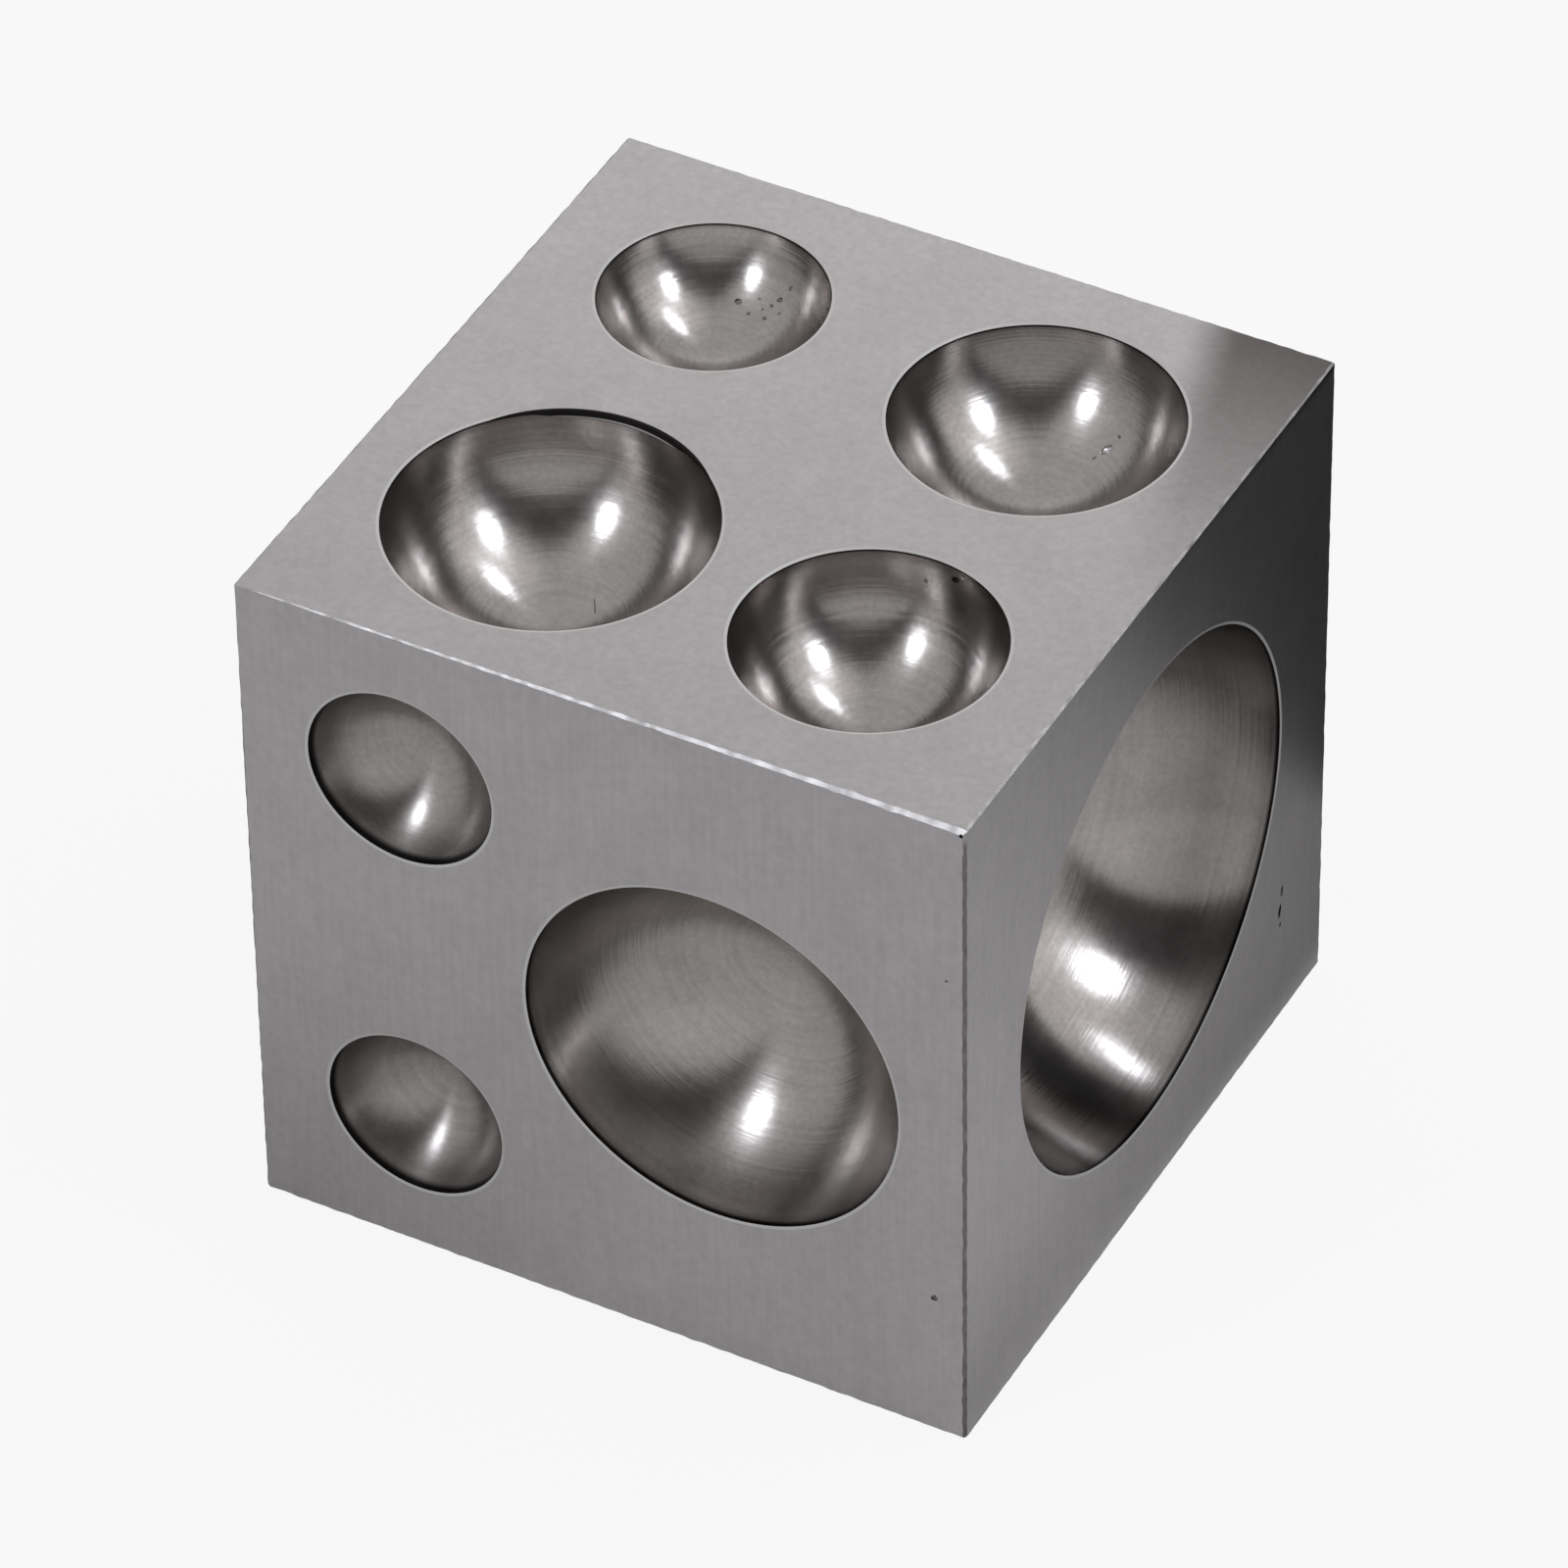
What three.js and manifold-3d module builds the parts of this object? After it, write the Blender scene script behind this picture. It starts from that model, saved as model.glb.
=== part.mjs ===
// Dapping block: a solid steel cube with round cups sunk into all six faces, in which sheet metal is
// domed with ball punches. It is one piece of steel, so it is one mesh.
// Millimetres, +Z up, the front face looks along -Y, and the origin is the middle of the base.

import * as THREE from 'three';
import { mergeVertices, toCreasedNormals } from 'three/addons/utils/BufferGeometryUtils.js';
import Module from 'manifold-3d';

// The cube, and the narrow flat that the grinder leaves along every edge
const side = 50.8;
const edgeBreak = 0.4;

// The four upper cups. Each has the width of its mouth, its depth in the middle, and its centre as
// shares of the side, to the right and up from the middle of the face.
const topBackLeft = { mouth: 15.1, depth: 5.3, centreShares: [-0.248, 0.261] };
const topBackRight = { mouth: 19, depth: 7.2, centreShares: [0.222, 0.2295] };
const topFrontLeft = { mouth: 21.3, depth: 9.1, centreShares: [-0.2165, -0.2165] };
const topFrontRight = { mouth: 17.4, depth: 7.9, centreShares: [0.234, -0.239] };

// Two small cups and a large one in front
const frontUpper = { mouth: 13.1, depth: 4.8, centreShares: [-0.277, 0.274] };
const frontLower = { mouth: 12.6, depth: 5.3, centreShares: [-0.275, -0.2805] };
const frontLarge = { mouth: 26.3, depth: 10.7, centreShares: [0.149, -0.0075] };

// The single cup on the right is the widest of the block
const rightWidest = { mouth: 36.5, depth: 15.3, centreShares: [0.006, -0.005] };

// The finer cups come in graded sets: each is narrower than the last by the same amount, and all are
// as deep for their width
const gradedDepthShare = 0.4;
const backSet = { widest: 12, drop: 0.5, pitchShare: 0.26 };
const leftSet = { widest: 9.5, drop: 0.5, columnPitchShare: 0.44, rowPitchShare: 0.28 };
const baseSet = { widest: 6.5, drop: 0.5, pitchShare: 0.28 };

// How far a facet may stand off the true curve, how far a cutter stands out of the face, and the
// least angle between facets that shows as an edge
const chordError = 0.1;
const overrun = 2;
const creaseAngle = Math.PI / 5;

const wasm = await Module();
wasm.setup();

function graded(set, spots) {
  return spots.map((centreShares, order) => {
    const mouth = set.widest - set.drop * order;
    return { mouth, depth: mouth * gradedDepthShare, centreShares };
  });
}

// Five cups lie as on a die, then six in two columns and nine in three rows
function quincunx({ pitchShare: pitch }) {
  return [[-pitch, pitch], [pitch, pitch], [0, 0], [-pitch, -pitch], [pitch, -pitch]];
}

function grid(columns, rows, columnPitch, rowPitch) {
  const spots = [];
  for (let row = 0; row < rows; row += 1) {
    for (let column = 0; column < columns; column += 1) {
      const across = (column - (columns - 1) / 2) * columnPitch;
      const up = ((rows - 1) / 2 - row) * rowPitch;
      spots.push([across, up]);
    }
  }
  return spots;
}

const topCups = [topBackLeft, topBackRight, topFrontLeft, topFrontRight];
const frontCups = [frontUpper, frontLower, frontLarge];
const backCups = graded(backSet, quincunx(backSet));
const leftCups = graded(leftSet, grid(2, 3, leftSet.columnPitchShare, leftSet.rowPitchShare));
const baseCups = graded(baseSet, grid(3, 3, baseSet.pitchShare, baseSet.pitchShare));

// Each face has its own right and up, as seen by someone who looks straight at it
const faces = [
  { right: [1, 0, 0], up: [0, 1, 0], cups: topCups },
  { right: [1, 0, 0], up: [0, 0, 1], cups: frontCups },
  { right: [0, 1, 0], up: [0, 0, 1], cups: [rightWidest] },
  { right: [-1, 0, 0], up: [0, 0, 1], cups: backCups },
  { right: [0, -1, 0], up: [0, 0, 1], cups: leftCups },
  { right: [1, 0, 0], up: [0, -1, 0], cups: baseCups },
];

// A closed geometry with its shared corners merged and its empty triangles dropped, as a solid
function solidOf(geometry) {
  const bare = geometry.clone();
  bare.deleteAttribute('normal');
  bare.deleteAttribute('uv');
  const merged = mergeVertices(bare);
  const corners = merged.index.array;
  const triangles = [];
  for (let first = 0; first < corners.length; first += 3) {
    const [a, b, c] = corners.slice(first, first + 3);
    if (a !== b && b !== c && c !== a) {
      triangles.push(a, b, c);
    }
  }
  const vertProperties = new Float32Array(merged.attributes.position.array);
  const triVerts = new Uint32Array(triangles);
  return new wasm.Manifold(new wasm.Mesh({ numProp: 3, vertProperties, triVerts }));
}

function geometryOf(solid) {
  const mesh = solid.getMesh();
  const geometry = new THREE.BufferGeometry();
  geometry.setAttribute('position', new THREE.BufferAttribute(mesh.vertProperties, 3));
  geometry.setIndex(new THREE.BufferAttribute(mesh.triVerts, 1));
  return toCreasedNormals(geometry, creaseAngle);
}

// The square blank, its twelve edges broken
function blank() {
  const half = side / 2;
  const near = half - edgeBreak;
  const outline = new THREE.Shape();
  outline.moveTo(-near, -half);
  outline.lineTo(near, -half);
  outline.lineTo(half, -near);
  outline.lineTo(half, near);
  outline.lineTo(near, half);
  outline.lineTo(-near, half);
  outline.lineTo(-half, near);
  outline.lineTo(-half, -near);
  outline.closePath();
  const body = new THREE.ExtrudeGeometry(outline, {
    depth: side - 2 * edgeBreak,
    steps: 1,
    bevelEnabled: true,
    bevelThickness: edgeBreak,
    bevelSize: edgeBreak,
    bevelOffset: -edgeBreak,
    bevelSegments: 1,
  });
  return body.translate(0, 0, edgeBreak);
}

// Enough facets around a circle to keep within the chord error, in fours
function facetsAround(radius) {
  return 4 * Math.ceil(Math.PI / Math.acos(1 - chordError / radius) / 4);
}

// The tool that sinks a cup, along +Y with the face at 0. It is part of a ball or, where the cup is
// deeper than half its width, a half ball under a straight wall.
function cupTool({ mouth, depth }) {
  const rim = mouth / 2;
  const ball = depth < rim ? (rim ** 2 + depth ** 2) / (2 * depth) : rim;
  const centre = ball - depth;
  const sweep = Math.acos(Math.max(centre, 0) / ball);
  const around = facetsAround(ball);
  const rings = Math.ceil((around * sweep) / (2 * Math.PI));
  const profile = [];
  for (let ring = 0; ring <= rings; ring += 1) {
    const angle = (sweep * ring) / rings;
    profile.push(new THREE.Vector2(ball * Math.sin(angle), centre - ball * Math.cos(angle)));
  }
  profile.push(new THREE.Vector2(rim, overrun));
  profile.push(new THREE.Vector2(0, overrun));
  return new THREE.LatheGeometry(profile, around);
}

// From a tool's own axes to its place on a face: its +Y looks out of the face
function placeOn(face, [across, rise]) {
  const right = new THREE.Vector3(...face.right);
  const up = new THREE.Vector3(...face.up);
  const out = right.clone().cross(up);
  const at = new THREE.Vector3(0, 0, side / 2);
  at.addScaledVector(out, side / 2);
  at.addScaledVector(right, across * side);
  at.addScaledVector(up, rise * side);
  return new THREE.Matrix4().makeBasis(right, out, up.negate()).setPosition(at);
}

function dappingBlock() {
  let solid = solidOf(blank());
  for (const face of faces) {
    for (const cup of face.cups) {
      const tool = cupTool(cup).applyMatrix4(placeOn(face, cup.centreShares));
      solid = solid.subtract(solidOf(tool));
    }
  }
  const steel = new THREE.MeshStandardMaterial({ color: 0x9c9a98, roughness: 0.35, metalness: 1 });
  const mesh = new THREE.Mesh(geometryOf(solid), steel);
  mesh.name = 'dapping_block';
  return mesh;
}

const part = new THREE.Group();
part.name = 'dapping_block_part';
part.add(dappingBlock());

export default part;
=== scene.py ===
# Dapping block: a cube of tool steel with round cups sunk into its six faces, in which sheet metal is
# domed with ball punches. It is one piece, so it is one object here. Metres, +Z up, and the front face
# looks along -Y.

import itertools
import math

import bmesh
import bpy
from mathutils import Matrix, Vector, noise


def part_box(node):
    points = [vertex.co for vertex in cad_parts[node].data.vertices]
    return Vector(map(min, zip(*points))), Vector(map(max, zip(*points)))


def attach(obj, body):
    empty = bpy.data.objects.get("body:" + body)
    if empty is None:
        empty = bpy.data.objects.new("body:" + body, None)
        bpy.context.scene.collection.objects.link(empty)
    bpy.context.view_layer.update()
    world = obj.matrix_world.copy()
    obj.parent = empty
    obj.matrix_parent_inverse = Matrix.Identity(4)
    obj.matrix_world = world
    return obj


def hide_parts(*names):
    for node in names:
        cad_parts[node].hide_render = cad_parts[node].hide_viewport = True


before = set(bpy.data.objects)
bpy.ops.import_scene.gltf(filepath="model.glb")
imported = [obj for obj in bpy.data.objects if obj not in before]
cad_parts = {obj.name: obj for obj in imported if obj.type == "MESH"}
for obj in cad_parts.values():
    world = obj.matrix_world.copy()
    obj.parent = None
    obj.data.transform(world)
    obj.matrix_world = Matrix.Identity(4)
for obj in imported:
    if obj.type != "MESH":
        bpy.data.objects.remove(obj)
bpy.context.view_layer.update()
low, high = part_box("dapping_block")
side = high.x - low.x
half = side / 2
middle = (low + high) / 2
millimetre = 0.001

# Camera. It looks down on the block from the right of its front face, through a long lens that keeps
# the cube's edges nearly parallel.
camera_azimuth = 28.572
camera_elevation = 40.947
camera_distance = 0.70431
camera_roll = 0.814
camera_aim = Vector((-0.00051, -0.00049, 0.02518))
camera_lens = 253.5
camera_sensor = 36


def direction(azimuth, elevation):
    """The way to a point around the block: azimuth 0 is in front of it, 90 is on its right."""
    a = math.radians(azimuth)
    e = math.radians(elevation)
    return Vector((math.sin(a) * math.cos(e), -math.cos(a) * math.cos(e), math.sin(e)))


camera_data = bpy.data.cameras.new("camera")
camera_data.sensor_width = camera_sensor
camera_data.lens = camera_lens
camera = bpy.data.objects.new("camera", camera_data)
bpy.context.scene.collection.objects.link(camera)
towards_camera = direction(camera_azimuth, camera_elevation)
camera_turn = towards_camera.to_track_quat("Z", "Y").to_matrix()
camera_turn = camera_turn @ Matrix.Rotation(math.radians(-camera_roll), 3, "Z")
camera_place = camera_aim + camera_distance * towards_camera
camera.matrix_world = Matrix.Translation(camera_place) @ camera_turn.to_4x4()
bpy.context.scene.camera = camera


# Studio. A plain grey room, seen as white behind the block. Steel shows what stands around it, so the
# room has its darker and paler parts, each a soft-edged disc seen from the block: azimuth, elevation,
# radius and softness in degrees, and level.
def linear(colour):
    """A colour written as an sRGB hex value, as linear red, green, blue and alpha."""
    channels = [int(colour[at:at + 2], 16) / 255 for at in (1, 3, 5)]
    return [c / 12.92 if c <= 0.04045 else ((c + 0.055) / 1.055) ** 2.4 for c in channels] + [1]


def add(tree, kind, inputs=None, **settings):
    """Adds a node. inputs gives each socket its value, or the output that feeds it."""
    node = tree.nodes.new(kind)
    for name, value in settings.items():
        setattr(node, name, value)
    for name, value in (inputs or {}).items():
        if isinstance(value, bpy.types.NodeSocket):
            tree.links.new(value, node.inputs[name])
        else:
            node.inputs[name].default_value = value
    return node


studio_grey = 0.66
studio_parts = {
    "pale_wall_behind": (-152, 12, 30, 24, 0.92),
    "glow_over_right_lamps": (120, 66, 15, 16, 0.95),
    "glow_by_right_lamp": (112, 42, 25, 14, 1.0),
    "glow_between_right_lamps": (116, 55, 11, 10, 1.3),
    "glow_by_left_lamp": (-28, 42, 20, 12, 0.8),
    "dark_over_camera": (30, 62, 8, 20, 0.25),
    "dark_by_camera": (35, 20, 45, 14, 0.09),
    "pale_sheet_below_camera": (30, -10, 46, 4, 0.76),
    "dark_far_behind": (148, 6, 24, 16, 0.12),
}
studio = bpy.data.worlds.new("studio")
studio.use_nodes = True
tree = studio.node_tree
tree.nodes.clear()
path = add(tree, "ShaderNodeLightPath")
towards = add(tree, "ShaderNodeTexCoord")
level = add(tree, "ShaderNodeValue")
level.outputs[0].default_value = studio_grey
level = level.outputs[0]
for azimuth, elevation, radius, softness, strength in studio_parts.values():
    near = add(tree, "ShaderNodeVectorMath",
               {0: towards.outputs["Generated"], 1: direction(azimuth, elevation)}, operation="DOT_PRODUCT")
    edge = [math.cos(math.radians(radius + shift * softness)) for shift in (0.5, -0.5)]
    inside = add(tree, "ShaderNodeMapRange",
                 {"Value": near.outputs["Value"], "From Min": edge[0], "From Max": edge[1]},
                 interpolation_type="SMOOTHSTEP")
    level = add(tree, "ShaderNodeMix", {"Factor": inside.outputs[0], "A": level, "B": strength}).outputs[0]
grey = add(tree, "ShaderNodeBackground", {"Color": linear("#FFFFFF"), "Strength": level})
white = add(tree, "ShaderNodeBackground", {"Color": linear("#FFFFFF")})
mixed = add(tree, "ShaderNodeMixShader",
            {0: path.outputs["Is Camera Ray"], 1: grey.outputs[0], 2: white.outputs[0]})
add(tree, "ShaderNodeOutputWorld", {"Surface": mixed.outputs[0]})
bpy.context.scene.world = studio


# Floor. Pale paper that keeps the block's shadow and turns to white before the camera. In the steel the
# paper is shaded: at the foot of the right face, from there towards the back, and at the left corner.
# Each shade has its strength and, in metres, where it starts and ends.
def new_material(name):
    material = bpy.data.materials.new(name)
    material.use_nodes = True
    material.node_tree.nodes.clear()
    return material, material.node_tree


def finished_mesh(name, bm):
    """The bmesh as an object at the origin, unturned and unscaled."""
    mesh = bpy.data.meshes.new(name)
    bm.to_mesh(mesh)
    bm.free()
    thing = bpy.data.objects.new(name, mesh)
    bpy.context.scene.collection.objects.link(thing)
    return thing


floor_radius = 2.0
whiteness_to_camera = 0.9
whiteness_to_steel = 0.33
foot_shade, foot_start, foot_end = 0.3, 0.027, 0.035
falling_shade, falling_start, falling_end = 0.6, -0.024, 0.018
falling_slant = 0.6
corner_shade, corner_start, corner_end = 0.24, 0.0, 0.026
corner_place = (-0.027, -0.027, 0)

paper, tree = new_material("pale_paper")
path = add(tree, "ShaderNodeLightPath")
lit = add(tree, "ShaderNodeBsdfDiffuse", {"Color": linear("#B0B0B0")})
white = add(tree, "ShaderNodeEmission", {"Color": linear("#FFFFFF"), "Strength": 1.0})
dark = add(tree, "ShaderNodeEmission", {"Color": linear("#282828")})
by_camera = add(tree, "ShaderNodeMath", {0: path.outputs["Is Camera Ray"], 1: whiteness_to_camera},
                operation="MULTIPLY")
whiteness = add(tree, "ShaderNodeMath",
                {0: path.outputs["Is Glossy Ray"], 1: whiteness_to_steel, 2: by_camera.outputs[0]},
                operation="MULTIPLY_ADD")
plain = add(tree, "ShaderNodeMixShader", {0: whiteness.outputs[0], 1: lit.outputs[0], 2: white.outputs[0]})
place = add(tree, "ShaderNodeTexCoord").outputs["Object"]
to_corner = add(tree, "ShaderNodeVectorMath", {0: place, 1: corner_place}, operation="DISTANCE")
slanted = add(tree, "ShaderNodeVectorMath", {0: place, 1: (-falling_slant, 1, 0)}, operation="DOT_PRODUCT")
place = add(tree, "ShaderNodeSeparateXYZ", {0: place})
beside = add(tree, "ShaderNodeMapRange",
             {"Value": place.outputs["X"], "From Min": half - millimetre, "From Max": half + millimetre})
at_foot = add(tree, "ShaderNodeMapRange",
              {"Value": place.outputs["X"], "From Min": foot_start, "From Max": foot_end,
               "To Min": 1 - foot_shade, "To Max": 1}, interpolation_type="SMOOTHSTEP")
falling = add(tree, "ShaderNodeMapRange",
              {"Value": slanted.outputs["Value"], "From Min": falling_start, "From Max": falling_end,
               "To Min": 1, "To Max": 1 - falling_shade})
at_corner = add(tree, "ShaderNodeMapRange",
                {"Value": to_corner.outputs["Value"], "From Min": corner_start, "From Max": corner_end,
                 "To Min": corner_shade, "To Max": 0})
lightness = add(tree, "ShaderNodeMath", {0: at_foot.outputs[0], 1: falling.outputs[0]},
                operation="MULTIPLY")
shade = add(tree, "ShaderNodeMath", {0: 1.0, 1: lightness.outputs[0]}, operation="SUBTRACT")
shade = add(tree, "ShaderNodeMath", {0: shade.outputs[0], 1: beside.outputs[0], 2: at_corner.outputs[0]},
            operation="MULTIPLY_ADD")
shade = add(tree, "ShaderNodeMath", {0: shade.outputs[0], 1: path.outputs["Is Glossy Ray"]},
            operation="MULTIPLY")
mixed = add(tree, "ShaderNodeMixShader", {0: shade.outputs[0], 1: plain.outputs[0], 2: dark.outputs[0]})
add(tree, "ShaderNodeOutputMaterial", {"Surface": mixed.outputs[0]})
bm = bmesh.new()
bmesh.ops.create_circle(bm, cap_ends=True, radius=floor_radius, segments=96)
floor = finished_mesh("floor", bm)
floor.data.materials.append(paper)

# Card. A black card stands on the paper behind the block, towards its right. Only the steel shows it.
card_start = (0.026, 0.0385)
card_end = (0.24, 0.12)
card_height = 0.064
card_paper, tree = new_material("black_card")
lit = add(tree, "ShaderNodeBsdfDiffuse", {"Color": linear("#363636")})
add(tree, "ShaderNodeOutputMaterial", {"Surface": lit.outputs[0]})
bm = bmesh.new()
corners = [(*card_start, 0), (*card_end, 0), (*card_end, card_height), (*card_start, card_height)]
bm.faces.new([bm.verts.new(corner) for corner in corners])
card = finished_mesh("card", bm)
card.data.materials.append(card_paper)
card.visible_camera = False
card.visible_diffuse = False
card.visible_shadow = False

# Lamps. Three softboxes: a round one in front on the left, a round one on the right, and an oval one
# behind on the right. Each has its azimuth, elevation, width, height and tilt as seen from the block, in
# degrees, and its strength, which is how bright the steel sees it. Its energy is that times pi times its
# area.
lamp_distance = 0.7
lamp_colour = "#EEF4FF"
lamps = {
    "lamp_front_left": (-26, 43, 10, 10, 0, 26),
    "lamp_right": (93, 46, 11, 11, 0, 24),
    "lamp_behind_right": (143, 58, 20, 7, 30, 9),
}


def across(degrees, distance):
    """The width of what spans that angle at that distance."""
    return 2 * distance * math.tan(math.radians(degrees / 2))


for name, (azimuth, elevation, wide, tall, tilt, strength) in lamps.items():
    lamp = bpy.data.lights.new(name, "AREA")
    lamp.shape = "ELLIPSE"
    lamp.size = across(wide, lamp_distance)
    lamp.size_y = across(tall, lamp_distance)
    lamp.color = linear(lamp_colour)[:3]
    area = math.pi * lamp.size * lamp.size_y / 4
    lamp.energy = strength * math.pi * area
    holder = bpy.data.objects.new(name, lamp)
    bpy.context.scene.collection.objects.link(holder)
    away = direction(azimuth, elevation)
    turn = away.to_track_quat("Z", "Y").to_matrix() @ Matrix.Rotation(math.radians(tilt), 3, "Z")
    holder.matrix_world = Matrix.Translation(middle + lamp_distance * away) @ turn.to_4x4()
    holder.visible_camera = False

# Blank. The cube is sawn from a bar of tool steel and surface-ground on its six sides. The sharp edges
# are broken with a stone, by hand, so the narrow flats along them are uneven and nicked. Each face is
# known by the directions to its right and up, as seen by someone who looks straight at it.
faces = {
    "top": (Vector((1, 0, 0)), Vector((0, 1, 0))),
    "front": (Vector((1, 0, 0)), Vector((0, 0, 1))),
    "right": (Vector((0, 1, 0)), Vector((0, 0, 1))),
    "back": (Vector((-1, 0, 0)), Vector((0, 0, 1))),
    "left": (Vector((0, -1, 0)), Vector((0, 0, 1))),
    "base": (Vector((1, 0, 0)), Vector((0, -1, 0))),
}
outwards = {name: right.cross(up) for name, (right, up) in faces.items()}

# How far a flat reaches into its faces. Those that the camera sees change along their length: each row
# names the face it is measured on and the face across the edge, and gives the reach at both ends. The
# wear is noise along the edge, with an offset of its own for each of them.
edge_leg = 0.18 * millimetre
uneven_legs = {
    ("front", "top"): (0.05 * millimetre, 0.28 * millimetre),
    ("top", "front"): (0.07 * millimetre, 0.26 * millimetre),
    ("top", "right"): (0.2 * millimetre, 0.13 * millimetre),
    ("right", "top"): (0.08 * millimetre, 0.1 * millimetre),
    ("front", "right"): (0.22 * millimetre, 0.22 * millimetre),
    ("right", "front"): (0.2 * millimetre, 0.2 * millimetre),
}
edge_steps = 190
wear_share = 0.45
wear_length = 0.9 * millimetre
wear_offsets = (9, 5)
finishes = ("ground", "broken_edge", "turned", "rim", "scale", "pit")

blank = bmesh.new()
bmesh.ops.create_cube(blank, size=side)
bmesh.ops.translate(blank, vec=middle, verts=blank.verts)
bmesh.ops.bevel(blank, geom=blank.edges[:], offset=edge_leg, affect="EDGES", segments=1, profile=0.5,
                material=-1)
flats = [face for face in blank.faces if face.calc_area() > side * half]
bmesh.ops.delete(blank, geom=flats, context="FACES_ONLY")
for face in blank.faces:
    face.material_index = finishes.index("broken_edge")
long_edges = [edge for edge in blank.edges if edge.calc_length() > half]
bmesh.ops.subdivide_edges(blank, edges=long_edges, cuts=edge_steps)
for vert in blank.verts:
    place = vert.co - middle
    insets = {name: half - out.dot(place) for name, out in outwards.items()}
    home = min(insets, key=insets.get)
    for name, inset in insets.items():
        if name == home or inset > 2 * edge_leg:
            continue
        along = outwards[home].cross(outwards[name])
        along = Vector([abs(part) for part in along])
        share = 0.5 + along.dot(place) / side
        start, end = uneven_legs.get((home, name), (edge_leg, edge_leg))
        leg = start + share * (end - start)
        offset = wear_offsets[0] * outwards[home] + wear_offsets[1] * outwards[name]
        wear = noise.noise(place / wear_length + offset)
        vert.co += outwards[name] * (inset - leg * (1 + wear_share * wear))
open_edges = [edge for edge in blank.edges if edge.is_boundary]
bmesh.ops.holes_fill(blank, edges=open_edges, sides=0)
bmesh.ops.recalc_face_normals(blank, faces=blank.faces)
for face in blank.faces:
    if face.calc_area() > side * half:
        face.material_index = finishes.index("ground")

# Ground steel is grey and satin: the wheel leaves a fine mottle, faint streaks and a slow cloudiness, so
# no flat is one even grey. Painted light makes the steel lighter towards the back and darker towards the
# front, and painted shade darkens the top in brown-grey towards its back right corner. The real mottle
# is finer than the picture can show, so it is drawn coarser here.
mottle_size = 0.6 * millimetre
cloud_size = 5 * millimetre
streak_width = 0.3 * millimetre
streak_length = 6 * millimetre
painted_shade_x = (0.0148, 0.0192)
painted_shade_y = (-0.002, 0.0254)
painted_shade_slant = 0.25
painted_shade_reach = 0.9 * millimetre
painted_shade_strength = 0.8

ground, tree = new_material("ground_tool_steel")
coordinates = add(tree, "ShaderNodeTexCoord").outputs["Object"]
place = add(tree, "ShaderNodeSeparateXYZ", {0: coordinates})
mottle = add(tree, "ShaderNodeTexNoise",
             {"Vector": coordinates, "Scale": 1 / mottle_size, "Detail": 1.0, "Roughness": 0.5})
cloud = add(tree, "ShaderNodeTexNoise", {"Vector": coordinates, "Scale": 1 / cloud_size, "Detail": 2.0})
tone = add(tree, "ShaderNodeMapRange",
           {"Value": mottle.outputs[0], "From Min": 0.25, "From Max": 0.75, "To Min": 0.95, "To Max": 1.05})
cloudy = add(tree, "ShaderNodeMapRange",
             {"Value": cloud.outputs[0], "From Min": 0.3, "From Max": 0.7, "To Min": 0.97, "To Max": 1.03})
tone = add(tree, "ShaderNodeMath", {0: tone.outputs[0], 1: cloudy.outputs[0]}, operation="MULTIPLY")
# Painted light: the steel is lighter towards the back and darker towards the front.
painted_light_to_back = add(tree, "ShaderNodeMapRange",
                 {"Value": place.outputs["Y"], "From Min": -half, "From Max": half, "To Min": 0.93,
                  "To Max": 1.07})
tone = add(tree, "ShaderNodeMath", {0: tone.outputs[0], 1: painted_light_to_back.outputs[0]}, operation="MULTIPLY")
stretched = add(tree, "ShaderNodeMapping", {"Vector": coordinates, "Scale": (
    1 / streak_width, 1 / streak_width, 1 / streak_length)})
streaks = add(tree, "ShaderNodeTexNoise", {"Vector": stretched.outputs[0], "Scale": 1.0, "Detail": 0.0})
streaky = add(tree, "ShaderNodeMapRange",
              {"Value": streaks.outputs[0], "From Min": 0.3, "From Max": 0.7, "To Min": 0.975,
              "To Max": 1.025})
tone = add(tree, "ShaderNodeMath", {0: tone.outputs[0], 1: streaky.outputs[0]}, operation="MULTIPLY")
steel = add(tree, "ShaderNodeVectorMath", {0: linear("#B8B4B5")[:3], "Scale": tone.outputs[0]},
            operation="SCALE")
# Painted shade: the top darkens in brown-grey towards its back right corner.
slanted = add(tree, "ShaderNodeVectorMath", {0: coordinates, 1: (1, painted_shade_slant, 0)},
              operation="DOT_PRODUCT")
painted_shade_start = [edge + painted_shade_slant * half for edge in painted_shade_x]
painted_shade = add(tree, "ShaderNodeMapRange",
            {"Value": slanted.outputs["Value"], "From Min": painted_shade_start[0], "From Max": painted_shade_start[1],
             "To Max": painted_shade_strength}, interpolation_type="SMOOTHSTEP")
backward = add(tree, "ShaderNodeMapRange",
               {"Value": place.outputs["Y"], "From Min": painted_shade_y[0], "From Max": painted_shade_y[1]})
upward = add(tree, "ShaderNodeMapRange",
             {"Value": place.outputs["Z"], "From Min": side - painted_shade_reach, "From Max": side})
painted_shade = add(tree, "ShaderNodeMath", {0: painted_shade.outputs[0], 1: backward.outputs[0]}, operation="MULTIPLY")
painted_shade = add(tree, "ShaderNodeMath", {0: painted_shade.outputs[0], 1: upward.outputs[0]}, operation="MULTIPLY")
steel = add(tree, "ShaderNodeMix",
            {0: painted_shade.outputs[0], 6: steel.outputs[0], 7: linear("#3A3430")}, data_type="RGBA")
shader = add(tree, "ShaderNodeBsdfPrincipled",
             {"Base Color": steel.outputs[2], "Metallic": 1.0, "Roughness": 0.3})
add(tree, "ShaderNodeOutputMaterial", {"Surface": shader.outputs[0]})
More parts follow.
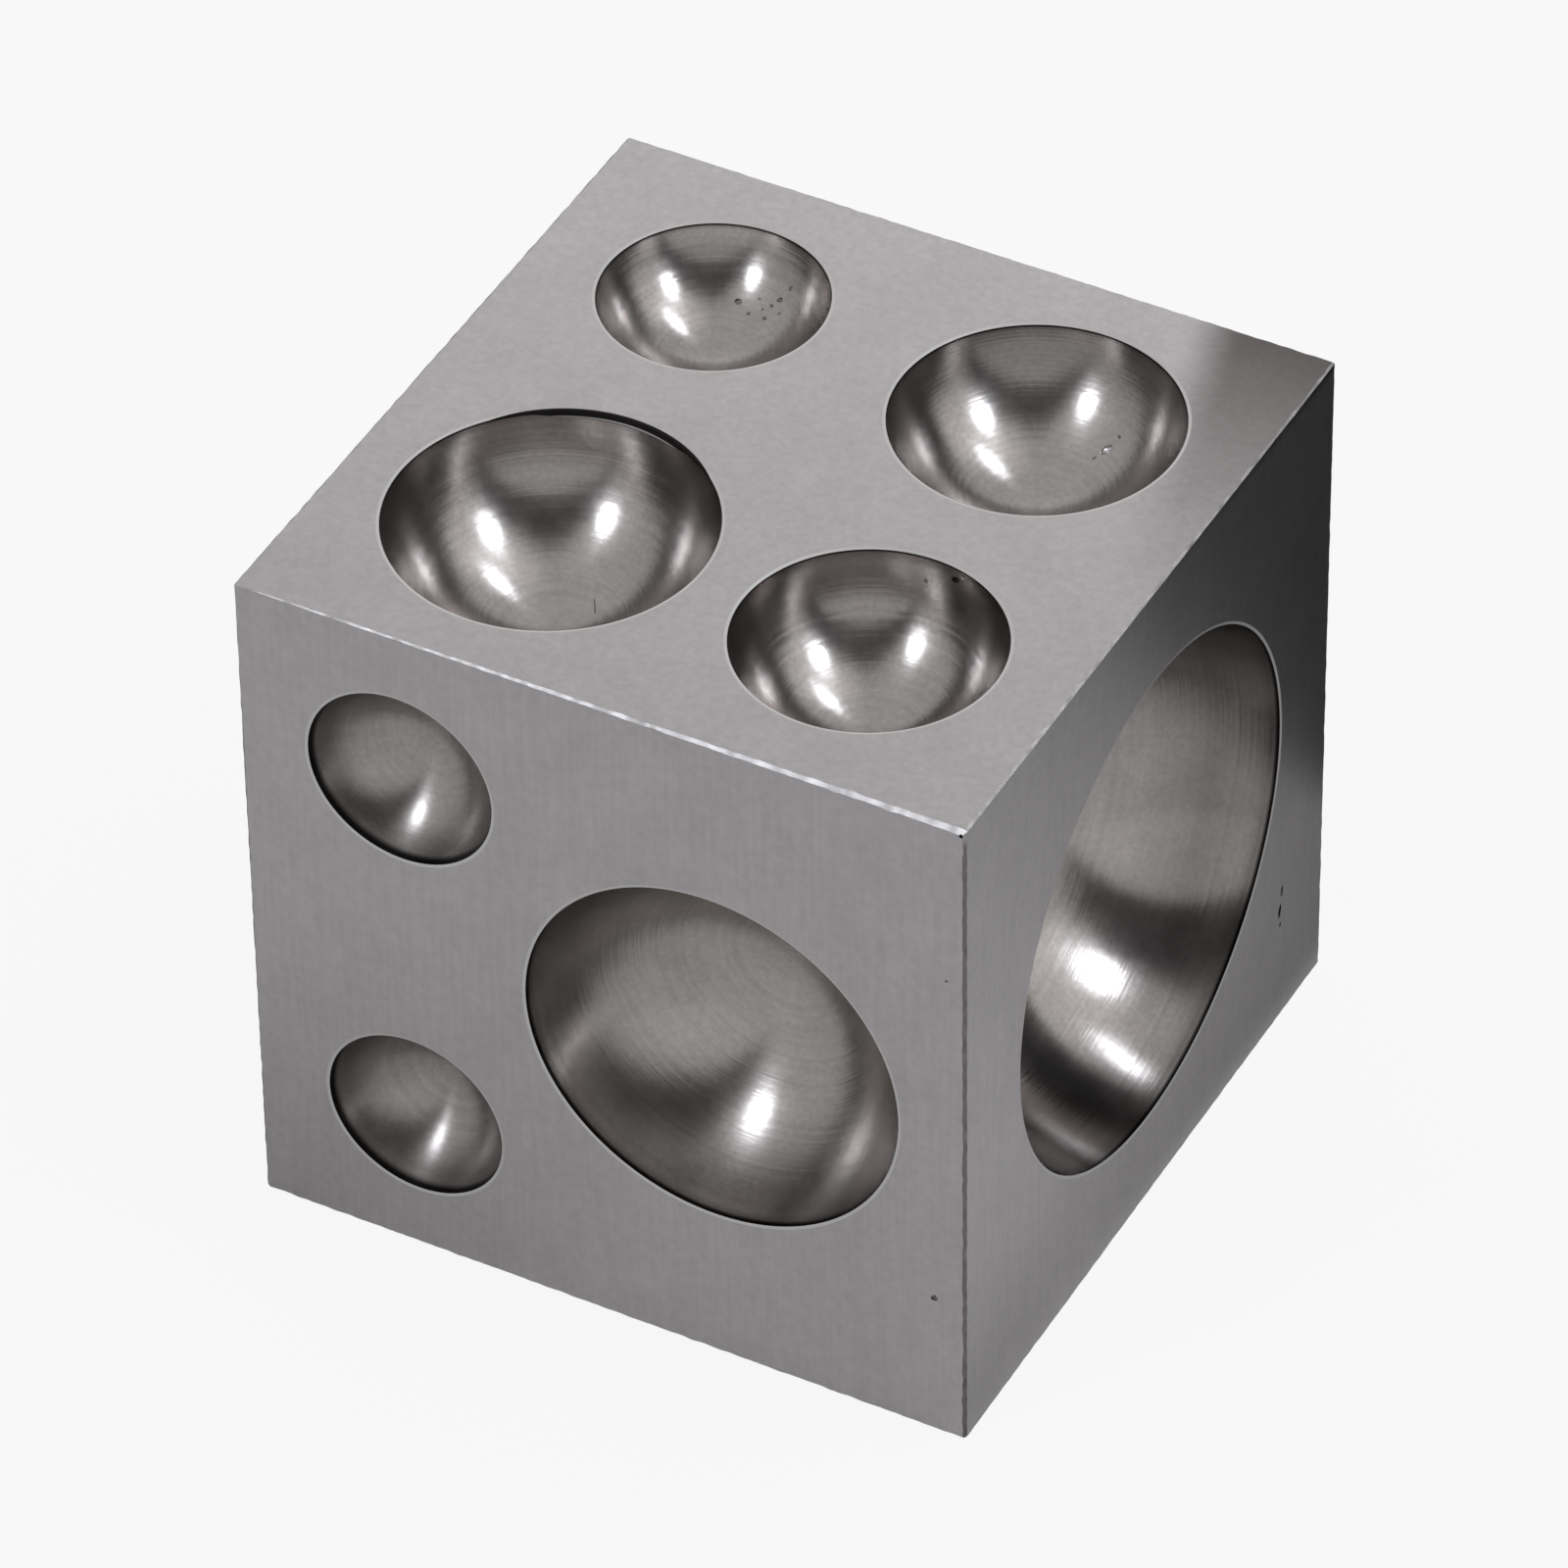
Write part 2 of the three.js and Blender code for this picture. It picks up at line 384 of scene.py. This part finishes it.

# The broken edges are dull and dark, but painted lighter around the top, as painted sheen, and they
# flash there where they mirror a lamp. Small nicks break up that flash.
painted_sheen_start = 1.2 * millimetre
painted_sheen_end = 0.5 * millimetre
nick_size = 1.1 * millimetre
broken_edge, tree = new_material("dull_broken_edge")
coordinates = add(tree, "ShaderNodeTexCoord").outputs["Object"]
place = add(tree, "ShaderNodeSeparateXYZ", {0: coordinates})
# Painted sheen: the edges are lighter near the top.
painted_sheen = add(tree, "ShaderNodeMapRange",
             {"Value": place.outputs["Z"], "From Min": side - painted_sheen_start,
              "From Max": side - painted_sheen_end})
steel = add(tree, "ShaderNodeMix", {0: painted_sheen.outputs[0], 6: linear("#7E7B79"), 7: linear("#A8A5A4")},
            data_type="RGBA")
nicks = add(tree, "ShaderNodeTexNoise", {"Vector": coordinates, "Scale": 1 / nick_size, "Detail": 0.0})
nicked = add(tree, "ShaderNodeMapRange",
             {"Value": nicks.outputs[0], "From Min": 0.3, "From Max": 0.7, "To Min": 0.76, "To Max": 1.1})
steel = add(tree, "ShaderNodeVectorMath", {0: steel.outputs[2], "Scale": nicked.outputs[0]},
            operation="SCALE")
shader = add(tree, "ShaderNodeBsdfPrincipled",
             {"Base Color": steel.outputs[0], "Metallic": 1.0, "Roughness": 0.42})
add(tree, "ShaderNodeOutputMaterial", {"Surface": shader.outputs[0]})

# Cups in the top: four, for the widest domes that the block makes. A ball cutter sinks each, a fine
# stone turned in it polishes it, and the stone leaves a narrow bright ring around its rim. Each has the
# width of its mouth and its depth in millimetres, its centre as shares of the side, its polish, from 0
# for one left nearly as cut to 1, how far down the painted shade line under its rim reaches, in
# millimetres, and the painted shade of its upper wall. The stone's ring ends in a small step down to the
# wall.
cup_tools = bmesh.new()
cup_tools.loops.layers.uv.new("turning")
cup_tools.loops.layers.uv.new("wall")
cup_tools.loops.layers.uv.new("under_rim")
cup_numbers = itertools.count()
rim_width = 0.24 * millimetre
rim_depth = 0.05 * millimetre
rim_slope_share = 0.2
overrun = 0.5 * millimetre
facet = 0.4 * millimetre
fewest_facets = 48
weld = 1e-7

# The length of arc that one unit of the turning map stands for. Each cup starts at a whole number, so
# that no two have the same rings.
arc_span = 0.1


def place_on(face, right_share, up_share):
    """From a tool's own axes, with the face at 0, to its place on that face."""
    right, up = faces[face]
    out = outwards[face]
    at = middle + half * out + side * (right_share * right + up_share * up)
    return Matrix.Translation(at) @ Matrix((right, up, out)).transposed().to_4x4()


def ball_of(mouth, depth):
    """The radius of the ball that cuts a cup, and how high its centre stands over the face."""
    rim = mouth * millimetre / 2
    deep = depth * millimetre
    ball = (rim * rim + deep * deep) / (2 * deep)
    return ball, ball - deep


def sink(face, mouth, depth, centre_shares, polish, shade_line, wall_shade=1):
    """Adds the tool that sinks one cup. Its UV maps say where on the cup each point is: how far round,
    how far out from the middle, how deep as a share of the cup and of the painted shade line under its rim.
    They hold its polish and the painted shade of its upper wall too."""
    number = next(cup_numbers)
    ball, centre = ball_of(mouth, depth)
    sweep = math.acos((centre + rim_depth) / ball)
    around = max(fewest_facets, 8 * round(2 * math.pi * ball / facet / 8))
    rings = round(around * sweep / (2 * math.pi))
    profile = []
    for ring in range(rings + 1):
        angle = sweep * ring / rings
        profile.append((ball * math.sin(angle), centre - ball * math.cos(angle)))
    wide = profile[-1][0] + rim_width
    profile += [(wide, rim_depth * rim_slope_share), (wide, overrun), (0, overrun)]

    tool = bmesh.new()
    turning = tool.loops.layers.uv.new("turning")
    wall = tool.loops.layers.uv.new("wall")
    under_rim = tool.loops.layers.uv.new("under_rim")
    verts = [tool.verts.new((out, 0, up)) for out, up in profile]
    edges = [tool.edges.new(pair) for pair in zip(verts, verts[1:])]
    bmesh.ops.spin(tool, geom=verts + edges, cent=(0, 0, 0), axis=(0, 0, 1), angle=2 * math.pi,
                   steps=around, use_merge=True)
    bmesh.ops.remove_doubles(tool, verts=tool.verts, dist=weld)
    bmesh.ops.recalc_face_normals(tool, faces=tool.faces)
    for part in tool.faces:
        heart = part.calc_center_median()
        highest = max(vert.co.z for vert in part.verts)
        part.material_index = finishes.index("rim" if highest > -rim_depth / 2 else "turned")
        about = math.atan2(heart.y, heart.x)
        for loop in part.loops:
            at = loop.vert.co
            turn = 0
            if math.hypot(at.x, at.y) > weld:
                turn = math.remainder(math.atan2(at.y, at.x) - about, 2 * math.pi)
            cosine = max(-1, min(1, (centre - at.z) / ball))
            arc = ball * math.acos(cosine)
            loop[turning].uv = ((about + turn) / (2 * math.pi), arc / arc_span + number)
            loop[wall].uv = (-at.z / (depth * millimetre), polish)
            loop[under_rim].uv = (-at.z / (shade_line * millimetre), wall_shade)
    bmesh.ops.transform(tool, matrix=place_on(face, *centre_shares), verts=tool.verts)
    whole = bpy.data.meshes.new("tool")
    tool.to_mesh(whole)
    tool.free()
    cup_tools.from_mesh(whole)
    bpy.data.meshes.remove(whole)


top_back_left = {"face": "top", "mouth": 15.1, "depth": 5.3, "centre_shares": (-0.248, 0.261)}
top_back_right = {"face": "top", "mouth": 19.0, "depth": 7.2, "centre_shares": (0.222, 0.2295)}
top_front_left = {"face": "top", "mouth": 21.3, "depth": 9.1, "centre_shares": (-0.2165, -0.2165)}
top_front_right = {"face": "top", "mouth": 17.4, "depth": 7.9, "centre_shares": (0.234, -0.239)}
top_polish = 0.85
top_shade_line = 0.2
sink(**top_back_left, polish=top_polish, shade_line=top_shade_line)
sink(**top_back_right, polish=top_polish, shade_line=top_shade_line, wall_shade=0.8)
sink(**top_front_left, polish=top_polish, shade_line=top_shade_line)
sink(**top_front_right, polish=top_polish, shade_line=top_shade_line)

# Cups in the front: two small ones, less well polished, and a large one.
sink("front", mouth=13.1, depth=4.8, centre_shares=(-0.277, 0.274), polish=0.3, shade_line=0.6,
     wall_shade=0.8)
sink("front", mouth=12.6, depth=5.3, centre_shares=(-0.275, -0.2805), polish=0.1, shade_line=0.65)
sink("front", mouth=26.3, depth=10.7, centre_shares=(0.149, -0.0075), polish=0.65, shade_line=0.42)

# Cup in the right face: a single one, the widest of the block and the best polished.
sink("right", mouth=36.5, depth=15.3, centre_shares=(0.006, -0.005), polish=1, shade_line=0.3,
     wall_shade=0.75)

# Finer cups in the faces that the photograph hides: five at the back as on a die, six on the left in two
# columns, nine in the base in three rows. Each is narrower than the last by the same step.
graded_depth_share = 0.4
graded_step = 0.5
graded_polish = 0.3
# How far down the painted shade line under the rim of each finer cup reaches, in millimetres.
graded_shade_line = 0.5
back_widest = 12
back_pitch = 0.26
for order, (column, row) in enumerate([(-1, 1), (1, 1), (0, 0), (-1, -1), (1, -1)]):
    mouth = back_widest - graded_step * order
    place = (column * back_pitch, row * back_pitch)
    sink("back", mouth, mouth * graded_depth_share, place, graded_polish, graded_shade_line)

left_widest = 9.5
left_column_pitch = 0.44
left_row_pitch = 0.28
for order in range(6):
    mouth = left_widest - graded_step * order
    place = ((order % 2 - 0.5) * left_column_pitch, (1 - order // 2) * left_row_pitch)
    sink("left", mouth, mouth * graded_depth_share, place, graded_polish, graded_shade_line)

base_widest = 6.5
base_pitch = 0.28
for order in range(9):
    mouth = base_widest - graded_step * order
    place = ((order % 3 - 1) * base_pitch, (1 - order // 3) * base_pitch)
    sink("base", mouth, mouth * graded_depth_share, place, graded_polish, graded_shade_line)


def cut_away(thing, tools):
    """Takes the tools' shape out of the thing. Each face keeps the finish of what made it."""
    cut = thing.modifiers.new("cut", "BOOLEAN")
    cut.operation = "DIFFERENCE"
    cut.object = tools
    cut.solver = "EXACT"
    cut.material_mode = "INDEX"
    evaluated = thing.evaluated_get(bpy.context.evaluated_depsgraph_get())
    whole = bpy.data.meshes.new_from_object(evaluated)
    thing.modifiers.clear()
    thing.data = whole
    bpy.data.objects.remove(tools)


block = finished_mesh("steel_dapping_block", blank)
tools = finished_mesh("cup_tools", cup_tools)
for thing in (block, tools):
    for finish in finishes:
        thing.data.materials.append(None)
cut_away(block, tools)

# Turned and polished steel: dark and glossy, with fine rings round the cup that draw each highlight out
# towards the rim. Painted shade makes the wall darker halfway down and near the rim than at the bottom,
# with a nearly black painted shade line just under the rim. A poorly polished cup is duller and has a
# wider line. The cutter's real rings are finer than the picture can show, so they are drawn coarser
# here. The tones run from the rim at 0 to the bottom at 1.
ring_pitch = 0.5 * millimetre
ring_depth = 0.01 * millimetre
fine_size = 0.35 * millimetre
haze_size = 3 * millimetre
wall_shade_tones = {0.0: "#7E7876", 0.03: "#96918E", 0.08: "#A8A3A0", 0.16: "#A29D9A", 0.26: "#989390",
              0.36: "#9B9693", 0.5: "#A39E9B", 0.65: "#AAA5A2", 0.8: "#ABA6A3", 1.0: "#AEA9A6"}

turned, tree = new_material("turned_tool_steel")
coordinates = add(tree, "ShaderNodeTexCoord").outputs["Object"]
tangent = add(tree, "ShaderNodeTangent", direction_type="UV_MAP", uv_map="turning")
turning = add(tree, "ShaderNodeUVMap", uv_map="turning")
turning = add(tree, "ShaderNodeSeparateXYZ", {0: turning.outputs[0]})
rings = add(tree, "ShaderNodeTexNoise",
            {"W": turning.outputs["Y"], "Scale": arc_span / ring_pitch, "Detail": 2.0, "Roughness": 0.6},
            noise_dimensions="1D")
bump = add(tree, "ShaderNodeBump", {"Height": rings.outputs[0], "Distance": ring_depth, "Strength": 1.0})
wall = add(tree, "ShaderNodeUVMap", uv_map="wall")
wall = add(tree, "ShaderNodeSeparateXYZ", {0: wall.outputs[0]})
steel = add(tree, "ShaderNodeValToRGB", {0: wall.outputs["X"]})
stops = steel.color_ramp.elements
stops.remove(stops[1])
for share, colour in wall_shade_tones.items():
    stop = stops.new(share) if share else stops[0]
    stop.color = linear(colour)
haze = add(tree, "ShaderNodeTexNoise",
           {"Vector": coordinates, "Scale": 1 / haze_size, "Detail": 3.0, "Roughness": 0.6})
fine = add(tree, "ShaderNodeTexNoise",
           {"Vector": coordinates, "Scale": 1 / fine_size, "Detail": 1.0, "Roughness": 0.5})
under_rim = add(tree, "ShaderNodeUVMap", uv_map="under_rim")
under_rim = add(tree, "ShaderNodeSeparateXYZ", {0: under_rim.outputs[0]})
# Painted shade: a nearly black line just under the rim.
shade_under_rim = add(tree, "ShaderNodeMapRange",
            {"Value": under_rim.outputs["X"], "From Min": 0.5, "From Max": 1.3, "To Min": 0.06,
             "To Max": 1.0}, interpolation_type="SMOOTHSTEP")
polished = add(tree, "ShaderNodeMapRange", {"Value": wall.outputs["Y"], "To Min": 0.8, "To Max": 1.0})
# Painted shade on the upper wall of some cups.
upper_wall_shade = add(tree, "ShaderNodeMapRange",
            {"Value": wall.outputs["X"], "From Min": 0.25, "From Max": 0.5,
             "To Min": under_rim.outputs["Y"], "To Max": 1.0})
tone = add(tree, "ShaderNodeMapRange",
           {"Value": haze.outputs[0], "From Min": 0.3, "From Max": 0.7, "To Min": 0.92, "To Max": 1.08})
tone = add(tree, "ShaderNodeMath", {0: tone.outputs[0], 1: shade_under_rim.outputs[0]}, operation="MULTIPLY")
tone = add(tree, "ShaderNodeMath", {0: tone.outputs[0], 1: polished.outputs[0]}, operation="MULTIPLY")
tone = add(tree, "ShaderNodeMath", {0: tone.outputs[0], 1: upper_wall_shade.outputs[0]}, operation="MULTIPLY")
finely = add(tree, "ShaderNodeMapRange",
             {"Value": fine.outputs[0], "From Min": 0.3, "From Max": 0.7, "To Min": 0.94, "To Max": 1.06})
ringed = add(tree, "ShaderNodeMapRange",
             {"Value": rings.outputs[0], "From Min": 0.3, "From Max": 0.7, "To Min": 0.95, "To Max": 1.05})
tone = add(tree, "ShaderNodeMath", {0: tone.outputs[0], 1: finely.outputs[0]}, operation="MULTIPLY")
tone = add(tree, "ShaderNodeMath", {0: tone.outputs[0], 1: ringed.outputs[0]}, operation="MULTIPLY")
steel = add(tree, "ShaderNodeVectorMath", {0: steel.outputs[0], "Scale": tone.outputs[0]},
            operation="SCALE")
gloss = add(tree, "ShaderNodeMapRange",
            {"Value": haze.outputs[0], "From Min": 0.3, "From Max": 0.7, "To Min": -0.025, "To Max": 0.025})
dullness = add(tree, "ShaderNodeMapRange", {"Value": wall.outputs["Y"], "To Min": 0.33, "To Max": 0.2})
gloss = add(tree, "ShaderNodeMath", {0: gloss.outputs[0], 1: dullness.outputs[0]}, operation="ADD")
ringing = add(tree, "ShaderNodeMapRange", {"Value": wall.outputs["Y"], "To Min": 0.85, "To Max": 0.52})
shader = add(tree, "ShaderNodeBsdfPrincipled",
             {"Base Color": steel.outputs[0], "Metallic": 1.0, "Roughness": gloss.outputs[0],
              "Anisotropic": ringing.outputs[0], "Anisotropic Rotation": 0.25,
              "Tangent": tangent.outputs[0], "Normal": bump.outputs[0]})
add(tree, "ShaderNodeOutputMaterial", {"Surface": shader.outputs[0]})

# The stoned rims are the palest steel, satin, and draw a thin bright line around each cup.
rim, tree = new_material("stoned_rim")
shader = add(tree, "ShaderNodeBsdfPrincipled",
             {"Base Color": linear("#C8C6C5"), "Metallic": 1.0, "Roughness": 0.38})
add(tree, "ShaderNodeOutputMaterial", {"Surface": shader.outputs[0]})

# Marks of use: the crescent left by a cut that was started off centre, pits where scale or a hard chip
# was hammered in, and a short scratch. The crescent is one shallow round cut, filled with nearly black
# scale, whose profile is given as radius and height in millimetres, with the finish up to each height.
crescent_shift = 1.26 * millimetre
crescent_bearing = math.radians(95)
crescent_profile = [(0, -0.38), (9.4, -0.38), (9.46, -0.32), (9.62, -0.05), (9.8, -0.05), (9.84, 0.5),
                    (0, 0.5)]
crescent_finishes = ((-0.32, "pit"), (-0.05, "scale"), (0.5, "rim"))
crescent_steps = 160
height_slack = 1e-4

# Each pit has its cup or face, its place to the right and up of the middle of that, its length and width
# in millimetres, its turn in degrees and its finish. Most are dull and grey, some hold dark scale, and
# the chip is bright.
pit_depth_share = 0.3
pit_unevenness = 0.5
pit_roughness = 1.5
front_face = {"face": "front"}
right_face = {"face": "right"}
pits = [
    (top_back_left, -0.69, 4.48, 0.5, 0.42, 0, "pit"),
    (top_back_left, 2.06, 5.06, 0.46, 0.36, 20, "pit"),
    (top_back_left, 2.55, 5.6, 0.4, 0.26, 60, "pit"),
    (top_back_left, 1.62, 4.72, 0.3, 0.24, -30, "pit"),
    (top_back_left, 0.31, 4.05, 0.34, 0.2, 30, "pit"),
    (top_back_left, 1.5, 3.96, 0.36, 0.24, 10, "pit"),
    (top_back_left, 0.61, 4.98, 0.24, 0.2, 0, "pit"),
    (top_back_left, 1.1, 4.45, 0.22, 0.18, 0, "pit"),
    (top_back_left, 2.4, 4.3, 0.26, 0.18, 40, "pit"),
    (top_front_left, 1.36, 2.83, 1.9, 0.1, -60, "pit"),
    (top_back_right, 2.35, 5.2, 1.0, 0.7, 40, "rim"),
    (top_back_right, 2.85, 5.9, 0.34, 0.2, -40, "pit"),
    (top_back_right, 1.75, 4.6, 0.3, 0.2, 30, "pit"),
    (top_front_right, 1.6, 8.42, 0.6, 0.4, 0, "scale"),
    (top_front_right, 2.2, 8.36, 0.5, 0.34, 0, "pit"),
    (top_front_right, -0.4, 8.35, 0.3, 0.22, 0, "pit"),
    (right_face, 19.35, -14.4, 1.0, 0.24, 86, "scale"),
    (right_face, 19.1, -16.0, 1.1, 0.36, 80, "scale"),
    (right_face, 19.2, -17.2, 0.5, 0.22, 80, "scale"),
    (front_face, 23.2, -14.0, 0.56, 0.46, 60, "pit"),
    (front_face, 24.1, 12.9, 0.26, 0.2, 0, "pit"),
    (front_face, 25.1, 25.0, 0.34, 0.24, 90, "scale"),
]


def dent(right, up, length, width, turn, finish, face, mouth=None, depth=None, centre_shares=(0, 0)):
    """Adds an uneven squashed ball, half sunk in the cup's wall or in the flat."""
    at = Vector((right, up, 0)) * millimetre
    out = Vector((0, 0, 1))
    if mouth:
        ball, centre = ball_of(mouth, depth)
        at.z = centre - math.sqrt(ball * ball - at.length_squared)
        out = Vector((0, 0, centre)) - at
    made = bmesh.ops.create_icosphere(marks, subdivisions=2, radius=1)
    for vert in made["verts"]:
        unevenness = noise.noise(vert.co * pit_roughness + Vector((right, up, 0)))
        vert.co *= 1 + pit_unevenness * unevenness
    size = Matrix.Diagonal((length / 2, width / 2, width * pit_depth_share, 1)) * millimetre
    size[3][3] = 1
    tilt = Vector((0, 0, 1)).rotation_difference(out).to_matrix().to_4x4()
    spin = Matrix.Rotation(math.radians(turn), 4, "Z")
    whole = place_on(face, *centre_shares) @ Matrix.Translation(at) @ tilt @ spin @ size
    bmesh.ops.transform(marks, matrix=whole, verts=made["verts"])
    for part in {part for vert in made["verts"] for part in vert.link_faces}:
        part.material_index = finishes.index(finish)


marks = bmesh.new()
verts = [marks.verts.new((out * millimetre, 0, up * millimetre)) for out, up in crescent_profile]
edges = [marks.edges.new(pair) for pair in zip(verts, verts[1:])]
bmesh.ops.spin(marks, geom=verts + edges, cent=(0, 0, 0), axis=(0, 0, 1), angle=2 * math.pi,
               steps=crescent_steps, use_merge=True)
bmesh.ops.remove_doubles(marks, verts=marks.verts, dist=weld)
bmesh.ops.recalc_face_normals(marks, faces=marks.faces)
for part in marks.faces:
    height = part.calc_center_median().z / millimetre
    finish = next(finish for top, finish in crescent_finishes if height < top + height_slack)
    part.material_index = finishes.index(finish)
shift = crescent_shift * Vector((math.cos(crescent_bearing), math.sin(crescent_bearing), 0))
whole = place_on("top", *top_front_left["centre_shares"]) @ Matrix.Translation(shift)
bmesh.ops.transform(marks, matrix=whole, verts=marks.verts)
for home, *numbers in pits:
    dent(*numbers, **home)
tools = finished_mesh("marks", marks)
for finish in finishes:
    tools.data.materials.append(None)
cut_away(block, tools)

# Dark scale is nearly black and dull, so the crescent shows as a black sickle behind its cup.
scale, tree = new_material("dark_scale")
shader = add(tree, "ShaderNodeBsdfPrincipled",
             {"Base Color": linear("#1E1C1B"), "Metallic": 1.0, "Roughness": 0.5})
add(tree, "ShaderNodeOutputMaterial", {"Surface": shader.outputs[0]})

# The bottom of a pit is dull grey, darker than the polished wall around it.
pit, tree = new_material("dull_pit")
shader = add(tree, "ShaderNodeBsdfPrincipled",
             {"Base Color": linear("#7A7674"), "Metallic": 1.0, "Roughness": 0.5})
add(tree, "ShaderNodeOutputMaterial", {"Surface": shader.outputs[0]})

# The flats' borders and the cups' rims stay sharp, and the rest is shaded smooth.
sharp_angle = math.radians(35)
bm = bmesh.new()
bm.from_mesh(block.data)
for face in bm.faces:
    face.smooth = True
for edge in bm.edges:
    kinds = {face.material_index for face in edge.link_faces}
    bent = len(edge.link_faces) == 2 and edge.calc_face_angle(0) > sharp_angle
    edge.smooth = not (bent or len(kinds) > 1)
bm.to_mesh(block.data)
bm.free()
for slot, material in enumerate((ground, broken_edge, turned, rim, scale, pit)):
    block.data.materials[slot] = material
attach(block, "root")
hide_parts("dapping_block")

bpy.context.scene.view_settings.view_transform = "Standard"
